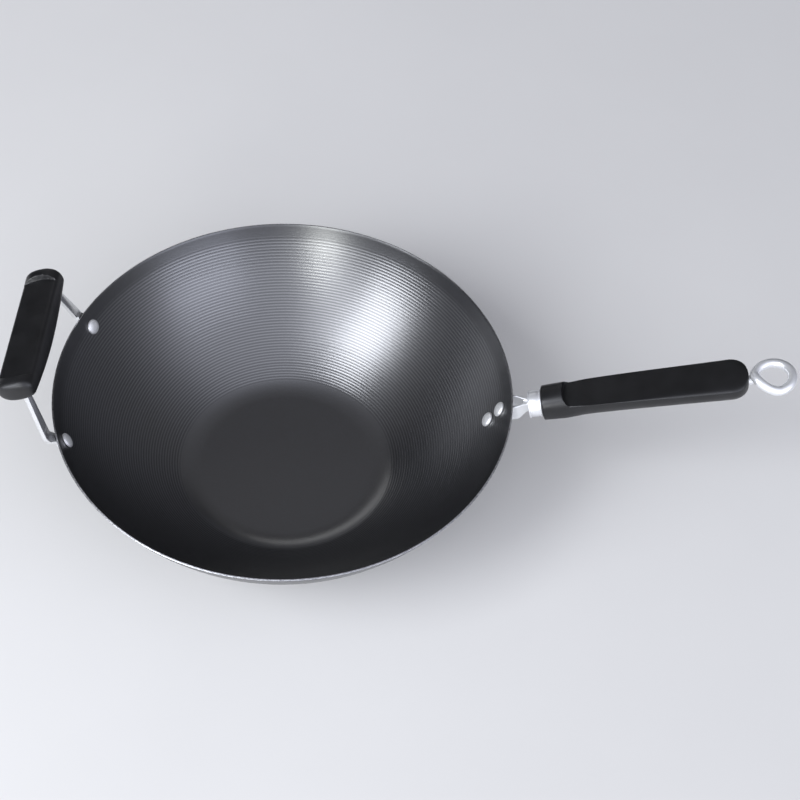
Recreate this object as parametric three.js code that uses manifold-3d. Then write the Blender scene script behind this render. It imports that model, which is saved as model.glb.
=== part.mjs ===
// A flat-bottom wok with a long handle and a helper handle.
// Millimetres, +Z up. The origin is the middle of the underside of the base,
// the long handle points along +X and the helper handle along -X.
import * as THREE from "three";
import { mergeVertices } from "three/addons/utils/BufferGeometryUtils.js";
import Module from "manifold-3d";

const wasm = await Module();
wasm.setup();
const { degToRad, lerp, smoothstep } = THREE.MathUtils;

// Gap between pieces that touch
const clearance = 0.3;

// Bowl: pressed steel sheet, a flat base, a fillet and a wall that steepens to a plain cut rim
const rimDiameter = 356;
const bowlDepth = 103.5;
const sheet = 1.5;
const baseRadius = 69;
const baseFillet = 43;
const wallStart = degToRad(30);

// Rivets, with their domed heads inside the bowl
const rivetShankRadius = 2.5;
const rivetHeadRadius = 6;
const rivetHeadHeight = 2.8;
const rivetTailRadius = 4;
const rivetTailHeight = 2.2;

// Long handle: where its axis starts, how it rises, and its rivets below the rim along the wall
const handleStandOff = 12.8;
const handleDrop = 7;
const handleRise = degToRad(15.5);
const upperRivetBelow = 17.5;
const lowerRivetBelow = 33.5;

// Bracket of the long handle: a tab on the wall and two wings that close on a tang
const bracketSheet = 2;
const tabHalfWidth = 8;
const tabTopBelow = 5;
const tabMargin = 9;
const wingHalfWidth = 6.5;
const wingTop = 6;
const wingBottom = 9;
const wingStraight = 11;
const mouthTop = 4.6;
const mouthBottom = 4.4;
const tangHalfWidth = 3.4;
const tangHalfHeight = 3;
const tangLength = 4;

// Ferrule between the bracket and the grip
const ferruleRadius = 10.6;
const ferruleWall = 1.2;
const ferruleLength = 10.5;
const ferruleLip = 0.5;
const ferruleLipLength = 1.4;

// Tie rod with its hanging eye, its nut and its washer
const rodRadius = 2.6;
const eyeBarRadius = 3.75;
const eyeLoopRadius = 14.2;
const eyeBendRadius = 4.4;
const eyeNeck = 0.3;
const eyeLap = 0.4;
const eyeLapStart = 0.7;
const eyeLapEnd = 0.97;
const nutLength = 10;
const nutAcrossFlats = 10;
const rodInNut = 8;
const washerRadius = 6;
const washerThickness = 1.6;
const washerRecess = 2.6;

// Long grip: a round collar, then a bar whose top is scooped flat as far as its rounded end
const gripLength = 157.5;
const collarLength = 15.5;
const collarFrontRadius = 12.6;
const collarRearRadius = 14;
const collarEdge = 1.2;
const scoopCorner = 8;
const gripBlend = 22;
const scoopFrontHeight = 6.6;
const scoopRearHeight = 10;
const gripFrontHalfWidth = 12.4;
const gripMidHalfWidth = 15.2;
const gripRearHalfWidth = 17;
const gripFrontDepth = 20.5;
const gripMidDepth = 18.3;
const gripRearDepth = 19;
const gripEndRound = 14;
const gripSquareness = 2.6;
const spigotFrontGap = 0.6;

// Helper handle: a flat steel bail riveted to the wall, with a moulded grip round its bar
const helperRivetBelow = 14;
const helperRivetAcross = 57.7;
const bailThickness = 3.6;
const bailTabHalfWidth = 6.5;
const bailHalfWidth = 4.5;
const bailBarHalfWidth = 3.5;
const bailTabReach = 8.5;
const bailTabTop = 6.5;
const bailStandOff = 5.8;
const bailBendDrop = 3.5;
const bailBarHalfLength = 50;
const bailBend = 3;
const bailCorner = 9;
const helperStandOff = 12.2;
const helperLift = 42.3;
const helperTilt = degToRad(19);
const helperBarInset = 3.2;
const helperBarDrop = 1.2;
const helperEndCover = 10;
const helperHalfWidth = 14.8;
const helperRise = 9.5;
const helperEndDepth = 8.2;
const helperMidDepth = 17;
const helperEndRound = 5.5;
const helperScoopHeight = 5.4;
const helperHornLength = 8;
const helperScoopBow = 4;

// How much of a moulded end's rounding its height takes
const endTuck = 0.5;

// Facets
const bowlSides = 72;
const roundSides = 20;
const barSides = 12;
const gripSides = 24;
const nutSides = 6;
const filletSteps = 4;
const wallSteps = 8;
const domeSteps = 3;
const tabSteps = 7;
const footSteps = 10;
const wingSteps = 6;
const eyeBendSteps = 3;
const eyeLoopSteps = 14;
const eyeBarSteps = 46;
const gripSteps = 10;
const helperSteps = 6;
const endSteps = [0.2, 0.4, 0.6, 0.8, 0.95];
const scoopSteps = 6;
const bailBendSteps = 4;
const weld = 1e-4;

// Sizes worked out from the driving dimensions
const rimRadius = rimDiameter / 2;
const mouthRadius = rimRadius - sheet;
const rimHeight = sheet + bowlDepth;
const wallFoot = baseRadius + baseFillet * Math.sin(wallStart);
const wallFootRise = baseFillet * (1 - Math.cos(wallStart));
const rimSlope = 2 * Math.atan2(bowlDepth - wallFootRise, mouthRadius - wallFoot) - wallStart;
const wallArc = (mouthRadius - wallFoot) / (Math.sin(rimSlope) - Math.sin(wallStart));
const wallLength = wallArc * (rimSlope - wallStart);
const rivetHoleRadius = rivetShankRadius + clearance;
const rodHoleRadius = rodRadius + clearance;
const nutRadius = nutAcrossFlats / Math.sqrt(3);
const nutStart = tangLength + clearance;
const nutEnd = nutStart + nutLength;
const gripStart = ferruleLength + clearance;
const gripStep = gripStart + collarLength;
const gripEnd = gripStart + gripLength;
const helperHalfLength = bailBarHalfLength + helperEndCover;
const helperScoopHalfLength = helperHalfLength - helperHornLength;
const washerFace = gripEnd - washerRecess + clearance + washerThickness;

const chrome = new THREE.MeshStandardMaterial({ color: 0xd4d6d8, roughness: 0.12, metalness: 1 });
const zincSteel = new THREE.MeshStandardMaterial({ color: 0xa9abad, roughness: 0.4, metalness: 1 });
const satinRivet = new THREE.MeshStandardMaterial({ color: 0xd9d9d6, roughness: 0.35, metalness: 1 });
const coatedSteel = new THREE.MeshStandardMaterial({ color: 0x2b2c30, roughness: 0.38, metalness: 0.3 });
const softBlack = new THREE.MeshStandardMaterial({ color: 0x1b1b1d, roughness: 0.6, metalness: 0 });

// A three.js geometry as a closed solid that can be joined and cut
function toSolid(geometry) {
  const bare = geometry.clone();
  bare.deleteAttribute("normal");
  bare.deleteAttribute("uv");
  const merged = mergeVertices(bare, weld);
  const corners = merged.index.array;
  const triVerts = [];
  for (let k = 0; k < corners.length; k += 3) {
    const [a, b, c] = [corners[k], corners[k + 1], corners[k + 2]];
    if (a !== b && b !== c && c !== a) {
      triVerts.push(a, b, c);
    }
  }
  const mesh = new wasm.Mesh({
    numProp: 3,
    vertProperties: new Float32Array(merged.attributes.position.array),
    triVerts: new Uint32Array(triVerts),
  });
  return new wasm.Manifold(mesh);
}

// A solid as a named mesh
function piece(name, solid, material) {
  const { vertProperties, triVerts } = solid.getMesh();
  const geometry = new THREE.BufferGeometry();
  geometry.setAttribute("position", new THREE.BufferAttribute(vertProperties, 3));
  geometry.setIndex(new THREE.BufferAttribute(triVerts, 1));
  geometry.computeVertexNormals();
  const mesh = new THREE.Mesh(geometry, material);
  mesh.name = name;
  return mesh;
}

// A solid of revolution about Z, from [radius, height] pairs that run up its outside
function turned(profile, sides) {
  const points = profile.map(([radius, height]) => new THREE.Vector2(radius, height));
  const lathe = new THREE.LatheGeometry(points, sides, Math.PI / sides);
  return lathe.rotateX(Math.PI / 2);
}

// A solid of revolution about X, for pieces on a handle's axis
function turnedAlong(profile, sides) {
  return turned(profile, sides).rotateY(Math.PI / 2);
}

// A closed skin over rings of points, with each ring counter-clockwise seen from the far end
function skin(rings) {
  const count = rings[0].length;
  const last = (rings.length - 1) * count;
  const index = [];
  for (let start = 0; start < last; start += count) {
    for (let k = 0; k < count; k += 1) {
      const a = start + k;
      const b = start + ((k + 1) % count);
      index.push(a, b, b + count, a, b + count, a + count);
    }
  }
  for (let k = 1; k + 1 < count; k += 1) {
    index.push(0, k + 1, k, last, last + k, last + k + 1);
  }
  const geometry = new THREE.BufferGeometry();
  const positions = rings.flat().flatMap((point) => point.toArray());
  geometry.setAttribute("position", new THREE.Float32BufferAttribute(positions, 3));
  geometry.setIndex(index);
  return geometry;
}

// A box between two corners
function boxBetween(low, high) {
  const size = high.map((value, axis) => value - low[axis]);
  const middle = high.map((value, axis) => (value + low[axis]) / 2);
  return new THREE.BoxGeometry(...size).translate(...middle);
}

// A point of the bowl's wall, some way below the rim along it and offset out from its inner face
function wallPoint(below, offset) {
  const slope = rimSlope - below / wallArc;
  const inward = wallArc * (Math.sin(rimSlope) - Math.sin(slope));
  const drop = wallArc * (Math.cos(slope) - Math.cos(rimSlope));
  return {
    radius: mouthRadius - inward + offset * Math.sin(slope),
    height: rimHeight - drop - offset * Math.cos(slope),
    slope,
  };
}

// The bowl's profile from the base to the rim, at an offset out from the inner face
function shellProfile(offset) {
  const profile = [];
  for (let k = 0; k < filletSteps; k += 1) {
    const angle = (wallStart * k) / filletSteps;
    const reach = baseFillet + offset;
    profile.push([baseRadius + reach * Math.sin(angle), sheet + baseFillet - reach * Math.cos(angle)]);
  }
  for (let k = 0; k <= wallSteps; k += 1) {
    const { radius, height } = wallPoint(wallLength * (1 - k / wallSteps), offset);
    profile.push([radius, height]);
  }
  return profile;
}

// Everything that the bowl's outer face keeps other pieces out of
function bowlKeepOut() {
  const outline = shellProfile(sheet + clearance);
  const top = outline[outline.length - 1][1];
  return toSolid(turned([[0, -clearance], ...outline, [0, top]], bowlSides));
}

// Where a rivet goes through the wall: its place on the inner face, its axis and the way up the wall
function rivetSeat(below, azimuth) {
  const { radius, height, slope } = wallPoint(below, 0);
  const [cos, sin] = [Math.cos(azimuth), Math.sin(azimuth)];
  return {
    place: new THREE.Vector3(radius * cos, radius * sin, height),
    out: new THREE.Vector3(Math.sin(slope) * cos, Math.sin(slope) * sin, -Math.cos(slope)),
    up: new THREE.Vector3(Math.cos(slope) * cos, Math.cos(slope) * sin, Math.sin(slope)),
  };
}

function helperAzimuth(side) {
  const { radius } = wallPoint(helperRivetBelow, 0);
  return Math.PI - side * Math.asin(helperRivetAcross / radius);
}

function rivetHole(seat) {
  const reach = rivetHeadRadius + rivetTailRadius;
  const drill = new THREE.CylinderGeometry(rivetHoleRadius, rivetHoleRadius, 2 * reach, roundSides);
  const turn = new THREE.Quaternion().setFromUnitVectors(new THREE.Vector3(0, 1, 0), seat.out);
  return toSolid(drill.applyQuaternion(turn).translate(...seat.place.toArray()));
}

// A dome's outline as [radius, height] pairs, from its edge to its top
function domeOutline(radius, base, height) {
  return Array.from({ length: domeSteps + 1 }, (_, k) => {
    const angle = (k / domeSteps) * (Math.PI / 2);
    return [radius * Math.cos(angle), base + height * Math.sin(angle)];
  });
}

// A rivet with its head inside the bowl and its tail on the outer face of a plate of some thickness
function rivet(name, seat, plate) {
  const facetSag = rivetHeadRadius * Math.tan(Math.PI / bowlSides);
  const curveSag = rivetHeadRadius ** 2 / wallArc;
  const headSeat = -(clearance + facetSag + curveSag);
  const tailSeat = sheet + plate + 2 * clearance;
  const head = domeOutline(rivetHeadRadius, -headSeat, rivetHeadHeight);
  const profile = [
    ...head.map(([radius, height]) => [radius, -height]).reverse(),
    [rivetShankRadius, headSeat],
    [rivetShankRadius, tailSeat],
    ...domeOutline(rivetTailRadius, tailSeat, rivetTailHeight),
  ];
  const mesh = piece(name, toSolid(turned(profile, roundSides)), satinRivet);
  mesh.position.copy(seat.place);
  mesh.quaternion.setFromUnitVectors(new THREE.Vector3(0, 0, 1), seat.out);
  return mesh;
}

const longSeats = [upperRivetBelow, lowerRivetBelow].map((below) => rivetSeat(below, 0));
const helperSeats = [-1, 1].map((side) => rivetSeat(helperRivetBelow, helperAzimuth(side)));

function bowl() {
  const outline = [[0, 0], ...shellProfile(sheet), ...shellProfile(0).reverse(), [0, sheet]];
  let solid = toSolid(turned(outline, bowlSides));
  for (const seat of [...longSeats, ...helperSeats]) {
    solid = solid.subtract(rivetHole(seat));
  }
  return piece("wok_bowl", solid, coatedSteel);
}

// The long handle's own frame: X along its axis from the ferrule's mouth, Z up from its top
const longHandle = new THREE.Group();
longHandle.position.set(rimRadius + handleStandOff, 0, rimHeight - handleDrop);
longHandle.rotation.y = -handleRise;
longHandle.updateMatrix();

// The bracket's tab follows the wall, with a rounded foot below the lower rivet
function bracketTab() {
  const foot = lowerRivetBelow + tabMargin;
  const band = (offset) => Array.from({ length: tabSteps + 1 }, (_, k) => {
    const { radius, height } = wallPoint(lerp(foot, tabTopBelow, k / tabSteps), offset);
    return [radius, height];
  });
  const inner = band(sheet + clearance);
  const outer = band(sheet + clearance + bracketSheet);
  const ring = toSolid(turned([...outer, ...inner.reverse(), outer[0]], bowlSides));
  const { place, out, up } = rivetSeat(lowerRivetBelow, 0);
  const outline = new THREE.Shape();
  outline.moveTo(-tabHalfWidth, lowerRivetBelow);
  outline.lineTo(-tabHalfWidth, 0);
  outline.absarc(0, 0, tabHalfWidth, Math.PI, 2 * Math.PI, false);
  outline.lineTo(tabHalfWidth, lowerRivetBelow);
  outline.closePath();
  const reach = 2 * tabHalfWidth;
  const stamp = new THREE.ExtrudeGeometry(outline, {
    depth: 2 * reach,
    bevelEnabled: false,
    curveSegments: footSteps,
  });
  const across = new THREE.Vector3().crossVectors(up, out);
  const frame = new THREE.Matrix4().makeBasis(across, up, out).setPosition(place);
  stamp.translate(0, 0, -reach).applyMatrix4(frame);
  return ring.intersect(toSolid(stamp));
}

// One wing of the bracket, from well inside the wall to the ferrule's mouth
function bracketWing(side) {
  const root = -(handleStandOff + rimRadius / 2);
  const mouth = -clearance;
  const closingStations = Array.from(
    { length: wingSteps + 1 },
    (_, k) => lerp(-wingStraight, mouth, k / wingSteps),
  );
  const rings = [root, ...closingStations].map((along) => {
    const closing = smoothstep(along, -wingStraight, mouth);
    const outer = lerp(wingHalfWidth, tangHalfWidth, closing);
    const inner = outer - bracketSheet;
    const top = lerp(wingTop, mouthTop, closing);
    const bottom = -lerp(wingBottom, mouthBottom, closing);
    const [right, left] = side > 0 ? [outer, inner] : [-inner, -outer];
    return [[right, bottom], [right, top], [left, top], [left, bottom]].map(
      ([across, up]) => new THREE.Vector3(along, across, up),
    );
  });
  return toSolid(skin(rings).applyMatrix4(longHandle.matrix));
}

function bracket() {
  const tangRoot = -clearance - 2 * bracketSheet;
  const tang = boxBetween(
    [tangRoot, -tangHalfWidth, -tangHalfHeight],
    [tangLength, tangHalfWidth, tangHalfHeight],
  ).applyMatrix4(longHandle.matrix);
  let solid = bracketWing(1).add(bracketWing(-1)).subtract(bowlKeepOut());
  solid = solid.add(toSolid(tang)).add(bracketTab());
  for (const seat of longSeats) {
    solid = solid.subtract(rivetHole(seat));
  }
  return piece("handle_bracket", solid, chrome);
}

function ferrule() {
  const lip = ferruleRadius + ferruleLip;
  const bore = ferruleRadius - ferruleWall;
  const sleeve = turnedAlong([
    [0, 0],
    [ferruleRadius, 0],
    [lip, ferruleLipLength / 2],
    [ferruleRadius, ferruleLipLength],
    [ferruleRadius, ferruleLength - ferruleLipLength],
    [lip, ferruleLength - ferruleLipLength / 2],
    [ferruleRadius, ferruleLength],
    [bore, ferruleLength],
    [bore, ferruleWall],
    [0, ferruleWall],
  ], roundSides);
  const window = boxBetween(
    [-ferruleWall, -tangHalfWidth - clearance, -tangHalfHeight - clearance],
    [2 * ferruleWall, tangHalfWidth + clearance, tangHalfHeight + clearance],
  );
  return piece("handle_ferrule", toSolid(sleeve).subtract(toSolid(window)), chrome);
}

function tieRodNut() {
  const outline = [[0, nutStart], [nutRadius, nutStart], [nutRadius, nutEnd], [0, nutEnd]];
  const hex = turnedAlong(outline, nutSides);
  const bore = turnedAlong([
    [0, nutStart - clearance],
    [rodHoleRadius, nutStart - clearance],
    [rodHoleRadius, nutEnd + clearance],
    [0, nutEnd + clearance],
  ], barSides);
  return piece("tie_rod_nut", toSolid(hex).subtract(toSolid(bore)), zincSteel);
}

function eyeWasher() {
  const [low, high] = [washerFace - washerThickness, washerFace];
  const hole = rodHoleRadius;
  const ring = [[hole, low], [washerRadius, low], [washerRadius, high], [hole, high], [hole, low]];
  return piece("eye_washer", toSolid(turnedAlong(ring, roundSides)), chrome);
}

// The eye's path: out of the grip, a bend to one side, round a loop and lapped over its own neck
function eyePath(start) {
  const bendStart = gripEnd + eyeNeck;
  const reach = eyeBendRadius + eyeLoopRadius;
  const lead = Math.asin(eyeBendRadius / reach);
  const middle = bendStart + reach * Math.cos(lead);
  const lapHeight = 2 * eyeBarRadius + eyeLap;
  const points = [new THREE.Vector3(start, 0, 0)];
  for (let k = 0; k < eyeBendSteps; k += 1) {
    const angle = ((Math.PI / 2 - lead) * k) / eyeBendSteps;
    points.push(new THREE.Vector3(
      bendStart + eyeBendRadius * Math.sin(angle),
      eyeBendRadius * (1 - Math.cos(angle)),
      0,
    ));
  }
  for (let k = 0; k <= eyeLoopSteps; k += 1) {
    const share = k / eyeLoopSteps;
    const angle = (Math.PI - lead) * (1 - 2 * share);
    points.push(new THREE.Vector3(
      middle + eyeLoopRadius * Math.cos(angle),
      eyeLoopRadius * Math.sin(angle),
      lapHeight * smoothstep(share, eyeLapStart, eyeLapEnd),
    ));
  }
  const loopEnd = points[points.length - 1];
  const onward = new THREE.Vector3(-Math.sin(lead), Math.cos(lead), 0);
  points.push(loopEnd.clone().addScaledVector(onward, eyeBarRadius));
  return new THREE.CatmullRomCurve3(points, false, "centripetal");
}

function eyeRod() {
  const start = nutEnd - rodInNut;
  const shoulder = washerFace + clearance;
  const circle = new THREE.Shape();
  circle.absarc(0, 0, eyeBarRadius, 0, 2 * Math.PI, false);
  const bar = new THREE.ExtrudeGeometry(circle, {
    extrudePath: eyePath(shoulder),
    steps: eyeBarSteps,
    curveSegments: barSides / 2,
    bevelEnabled: false,
  });
  const rodEnd = shoulder + eyeBarRadius / 2;
  const rod = turnedAlong([[0, start], [rodRadius, start], [rodRadius, rodEnd], [0, rodEnd]], barSides);
  return piece("hanging_eye_rod", toSolid(rod).add(toSolid(bar)), chrome);
}

// A ring of a moulded bar: a squared oval about its widest level
function barRing(along, { halfWidth, level, rise, depth }) {
  const bulge = (value) => Math.sign(value) * Math.abs(value) ** (2 / gripSquareness);
  return Array.from({ length: gripSides }, (_, k) => {
    const angle = (2 * Math.PI * k) / gripSides;
    const [cos, sin] = [bulge(Math.cos(angle)), bulge(Math.sin(angle))];
    return new THREE.Vector3(along, halfWidth * cos, level + (sin > 0 ? rise : depth) * sin);
  });
}

// The rings of a moulded end that rounds off over a length
function roundedEnd(end, length, section) {
  return endSteps.map((share) => {
    const angle = (share * Math.PI) / 2;
    const narrow = Math.cos(angle) ** (2 / gripSquareness);
    const along = end - length * (1 - Math.sin(angle));
    const shallow = lerp(1, narrow, endTuck);
    const { halfWidth, level, rise, depth } = section(along);
    return barRing(along, {
      halfWidth: halfWidth * narrow,
      level,
      rise: rise * shallow,
      depth: depth * shallow,
    });
  });
}

function scoopHeight(along) {
  return lerp(scoopFrontHeight, scoopRearHeight, (along - gripStep) / (gripEnd - gripStep));
}

// The long grip's section, as far along the axis as is asked
function gripSection(along) {
  const blend = smoothstep(along, gripStep, gripStep + gripBlend);
  const collarShare = Math.min((along - gripStart) / collarLength, 1);
  const collar = lerp(collarFrontRadius, collarRearRadius, collarShare);
  const share = (along - gripStep) / (gripEnd - gripStep);
  const halves = [gripFrontHalfWidth, gripMidHalfWidth, gripRearHalfWidth];
  const depths = [gripFrontDepth, gripMidDepth, gripRearDepth];
  const through = (values) => {
    const curve = new THREE.QuadraticBezierCurve(
      new THREE.Vector2(0, values[0]),
      new THREE.Vector2(0.5, 2 * values[1] - (values[0] + values[2]) / 2),
      new THREE.Vector2(1, values[2]),
    );
    return curve.getPoint(Math.max(share, 0)).y;
  };
  const level = scoopHeight(along) * blend;
  return {
    halfWidth: lerp(collar, through(halves), blend),
    level,
    rise: collar - level,
    depth: lerp(collar, through(depths), blend),
  };
}

// The scoop that flattens the grip's top, with rounded front corners
function gripScoop() {
  const [front, rear] = [collarRearRadius, 2 * gripRearHalfWidth];
  const past = gripEnd + gripEndRound;
  const plan = new THREE.Shape();
  plan.moveTo(gripStep, 0);
  plan.lineTo(gripStep, -front + scoopCorner);
  plan.quadraticCurveTo(gripStep, -front, gripStep + scoopCorner, -front);
  plan.lineTo(past, -rear);
  plan.lineTo(past, rear);
  plan.lineTo(gripStep + scoopCorner, front);
  plan.quadraticCurveTo(gripStep, front, gripStep, front - scoopCorner);
  plan.closePath();
  const cutter = new THREE.ExtrudeGeometry(plan, {
    depth: 2 * gripRearDepth,
    bevelEnabled: false,
    curveSegments: scoopSteps,
  });
  const place = cutter.attributes.position;
  for (let k = 0; k < place.count; k += 1) {
    place.setZ(k, place.getZ(k) + scoopHeight(place.getX(k)));
  }
  return toSolid(cutter);
}

function longGrip() {
  const [barStart, barEnd] = [gripStep + scoopCorner, gripEnd - gripEndRound];
  const stations = [
    gripStart + collarEdge,
    gripStep,
    gripStep + scoopCorner / 2,
    ...Array.from({ length: gripSteps + 1 }, (_, k) => lerp(barStart, barEnd, k / gripSteps)),
  ];
  const collar = gripSection(gripStart);
  const nose = {
    halfWidth: collar.halfWidth - collarEdge,
    level: collar.level,
    rise: collar.rise - collarEdge,
    depth: collar.depth - collarEdge,
  };
  const rings = [
    barRing(gripStart, nose),
    ...stations.map((along) => barRing(along, gripSection(along))),
    ...roundedEnd(gripEnd, gripEndRound, gripSection),
  ];
  const spigotRadius = ferruleRadius - ferruleWall - clearance;
  const spigotStart = ferruleWall + spigotFrontGap;
  const spigot = turnedAlong([
    [0, spigotStart],
    [spigotRadius, spigotStart],
    [spigotRadius, gripStart + collarEdge],
    [0, gripStart + collarEdge],
  ], roundSides);
  const bore = turnedAlong([
    [0, 0],
    [nutRadius + clearance, 0],
    [nutRadius + clearance, nutEnd + clearance],
    [rodHoleRadius, nutEnd + clearance],
    [rodHoleRadius, gripEnd - washerRecess],
    [washerRadius + clearance, gripEnd - washerRecess],
    [washerRadius + clearance, gripEnd + washerRecess],
    [0, gripEnd + washerRecess],
  ], roundSides);
  const solid = toSolid(skin(rings)).add(toSolid(spigot)).subtract(gripScoop()).subtract(toSolid(bore));
  return piece("handle_grip", solid, softBlack);
}

// The helper grip's frame: X along the grip, Y out and down from the bowl, Z up from its top face
const helperFrame = new THREE.Matrix4().makeBasis(
  new THREE.Vector3(0, 1, 0),
  new THREE.Vector3(-Math.cos(helperTilt), 0, -Math.sin(helperTilt)),
  new THREE.Vector3(-Math.sin(helperTilt), 0, Math.cos(helperTilt)),
).setPosition(-(rimRadius + helperStandOff), 0, rimHeight + helperLift);

// The corners of the bail's path on one side: tab end, tab shoulder, tab top, outer bend, bar corner
function bailCorners(side) {
  const azimuth = helperAzimuth(side);
  const { place, out, up } = rivetSeat(helperRivetBelow, azimuth);
  const middle = place.clone().addScaledVector(out, sheet + clearance + bailThickness / 2);
  const onTab = (height) => middle.clone().addScaledVector(up, height);
  const bendRadius = rimRadius + bailStandOff;
  const bend = new THREE.Vector3(
    bendRadius * Math.cos(azimuth),
    bendRadius * Math.sin(azimuth),
    rimHeight - bailBendDrop,
  );
  const bar = new THREE.Vector3(side * bailBarHalfLength, -helperBarInset, -helperBarDrop);
  bar.applyMatrix4(helperFrame);
  const flat = new THREE.Vector3(-Math.cos(helperTilt), 0, -Math.sin(helperTilt));
  return [
    { point: onTab(-bailTabReach), face: out, half: bailTabHalfWidth / 2, round: 0 },
    { point: onTab(-bailTabReach / 2), face: out, half: bailTabHalfWidth, round: 0 },
    { point: onTab(bailTabTop), face: out, half: bailHalfWidth, round: bailBend },
    { point: bend, face: flat, half: bailHalfWidth, round: bailBend },
    { point: bar, face: flat, half: bailBarHalfWidth, round: bailCorner },
  ];
}

// The stations of a path with rounded corners: a place, the way its face looks and its half width
function pathStations(corners) {
  return corners.flatMap((corner, k) => {
    if (corner.round === 0) {
      return [corner];
    }
    const towards = (other) => corner.point.clone().lerp(
      other.point,
      corner.round / corner.point.distanceTo(other.point),
    );
    const arc = new THREE.QuadraticBezierCurve3(
      towards(corners[k - 1]),
      corner.point,
      towards(corners[k + 1]),
    );
    return arc.getPoints(bailBendSteps).map((point) => ({ ...corner, point }));
  });
}

// The bail as a strip of flat bar along its path, grown all round by an extra
function bailSolid(extra) {
  const corners = [...bailCorners(-1), ...bailCorners(1).reverse()];
  const stations = pathStations(corners);
  const thick = bailThickness / 2 + extra;
  const rings = stations.map(({ point, face, half }, k) => {
    const before = stations[Math.max(k - 1, 0)].point;
    const after = stations[Math.min(k + 1, stations.length - 1)].point;
    const along = after.clone().sub(before).normalize();
    const wide = new THREE.Vector3().crossVectors(face, along).normalize();
    const normal = new THREE.Vector3().crossVectors(along, wide);
    const width = half + extra;
    const edge = bailThickness / 4;
    return [
      [width, edge - thick],
      [width, thick - edge],
      [width - edge, thick],
      [edge - width, thick],
      [-width, thick - edge],
      [-width, edge - thick],
      [edge - width, -thick],
      [width - edge, -thick],
    ].map(([across, up]) => point.clone().addScaledVector(wide, across).addScaledVector(normal, up));
  });
  return toSolid(skin(rings));
}

function helperBail() {
  let solid = bailSolid(0);
  for (const seat of helperSeats) {
    solid = solid.subtract(rivetHole(seat));
  }
  return piece("helper_bail", solid, chrome);
}

// The scoop in the helper grip's top, between its two raised ends
function helperScoop() {
  const [long, wide] = [helperScoopHalfLength, 2 * helperHalfWidth];
  const side = long - helperScoopBow;
  const plan = new THREE.Shape();
  plan.moveTo(side, -helperHalfWidth);
  plan.quadraticCurveTo(long + helperScoopBow, 0, side, helperHalfWidth);
  plan.lineTo(side, wide);
  plan.lineTo(-side, wide);
  plan.lineTo(-side, helperHalfWidth);
  plan.quadraticCurveTo(-long - helperScoopBow, 0, -side, -helperHalfWidth);
  plan.lineTo(-side, -wide);
  plan.lineTo(side, -wide);
  plan.closePath();
  const cutter = new THREE.ExtrudeGeometry(plan, {
    depth: wide,
    bevelEnabled: false,
    curveSegments: scoopSteps,
  });
  return toSolid(cutter.translate(0, 0, helperScoopHeight).applyMatrix4(helperFrame));
}

function helperGrip() {
  const section = (along) => ({
    halfWidth: helperHalfWidth,
    level: 0,
    rise: helperRise,
    depth: lerp(helperMidDepth, helperEndDepth, (along / helperHalfLength) ** 2),
  });
  const end = roundedEnd(helperHalfLength, helperEndRound, section);
  const start = end.map((ring) => ring.map((point) => point.clone().setX(-point.x))).reverse();
  const straight = helperHalfLength - helperEndRound;
  const middle = Array.from({ length: helperSteps + 1 }, (_, k) => {
    const along = lerp(-straight, straight, k / helperSteps);
    return barRing(along, section(along));
  });
  const rings = [...start, ...middle, ...end];
  const bar = toSolid(skin(rings).applyMatrix4(helperFrame));
  return piece("helper_grip", bar.subtract(helperScoop()).subtract(bailSolid(clearance)), softBlack);
}

longHandle.add(ferrule(), tieRodNut(), longGrip(), eyeWasher(), eyeRod());

const wok = new THREE.Group();
wok.add(
  bowl(),
  bracket(),
  rivet("handle_rivet_upper", longSeats[0], bracketSheet),
  rivet("handle_rivet_lower", longSeats[1], bracketSheet),
  longHandle,
  helperBail(),
  helperGrip(),
  rivet("helper_rivet_front", helperSeats[0], bailThickness),
  rivet("helper_rivet_rear", helperSeats[1], bailThickness),
);

export default wok;
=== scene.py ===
import math

import bmesh
import bpy
from mathutils import Matrix, Vector


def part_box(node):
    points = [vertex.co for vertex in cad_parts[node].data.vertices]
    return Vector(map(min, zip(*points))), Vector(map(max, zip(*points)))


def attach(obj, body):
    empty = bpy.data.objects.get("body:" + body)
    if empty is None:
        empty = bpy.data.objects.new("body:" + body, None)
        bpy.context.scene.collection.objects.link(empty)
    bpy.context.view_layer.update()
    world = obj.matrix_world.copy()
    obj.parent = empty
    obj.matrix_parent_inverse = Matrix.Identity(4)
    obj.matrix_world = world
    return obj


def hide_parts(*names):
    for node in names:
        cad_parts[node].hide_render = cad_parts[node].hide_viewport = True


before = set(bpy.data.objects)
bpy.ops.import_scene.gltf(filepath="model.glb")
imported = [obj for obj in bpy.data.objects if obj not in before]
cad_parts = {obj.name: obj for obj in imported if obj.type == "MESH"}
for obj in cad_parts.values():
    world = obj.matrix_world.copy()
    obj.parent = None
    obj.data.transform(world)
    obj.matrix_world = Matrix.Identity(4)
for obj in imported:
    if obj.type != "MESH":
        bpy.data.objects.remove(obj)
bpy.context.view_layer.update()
scene = bpy.context.scene
print("frame loaded with", len(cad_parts), "nodes")

gap = 0.0003  # left between pieces that touch
quarterTurn = math.pi / 2
sharpEdge = math.radians(40)  # steeper edges are shaded sharp, where a piece has no angle of its own


# numbers

def lerp(a, b, share):
    return a + (b - a) * share


def ease(value, low, high):
    share = min(max((value - low) / (high - low), 0), 1)
    return share * share * (3 - 2 * share)


def softMin(a, b, blend):
    overlap = max(blend - abs(a - b), 0) / blend
    return min(a, b) - overlap * overlap * blend / 4


def spaced(low, high, steps):
    return [lerp(low, high, k / steps) for k in range(steps + 1)]


# meshes

def makeObject(name, points, faces=(), edges=()):
    mesh = bpy.data.meshes.new(name)
    mesh.from_pydata([tuple(point) for point in points], list(edges), list(faces))
    made = bpy.data.objects.new(name, mesh)
    scene.collection.objects.link(made)
    return made


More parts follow.
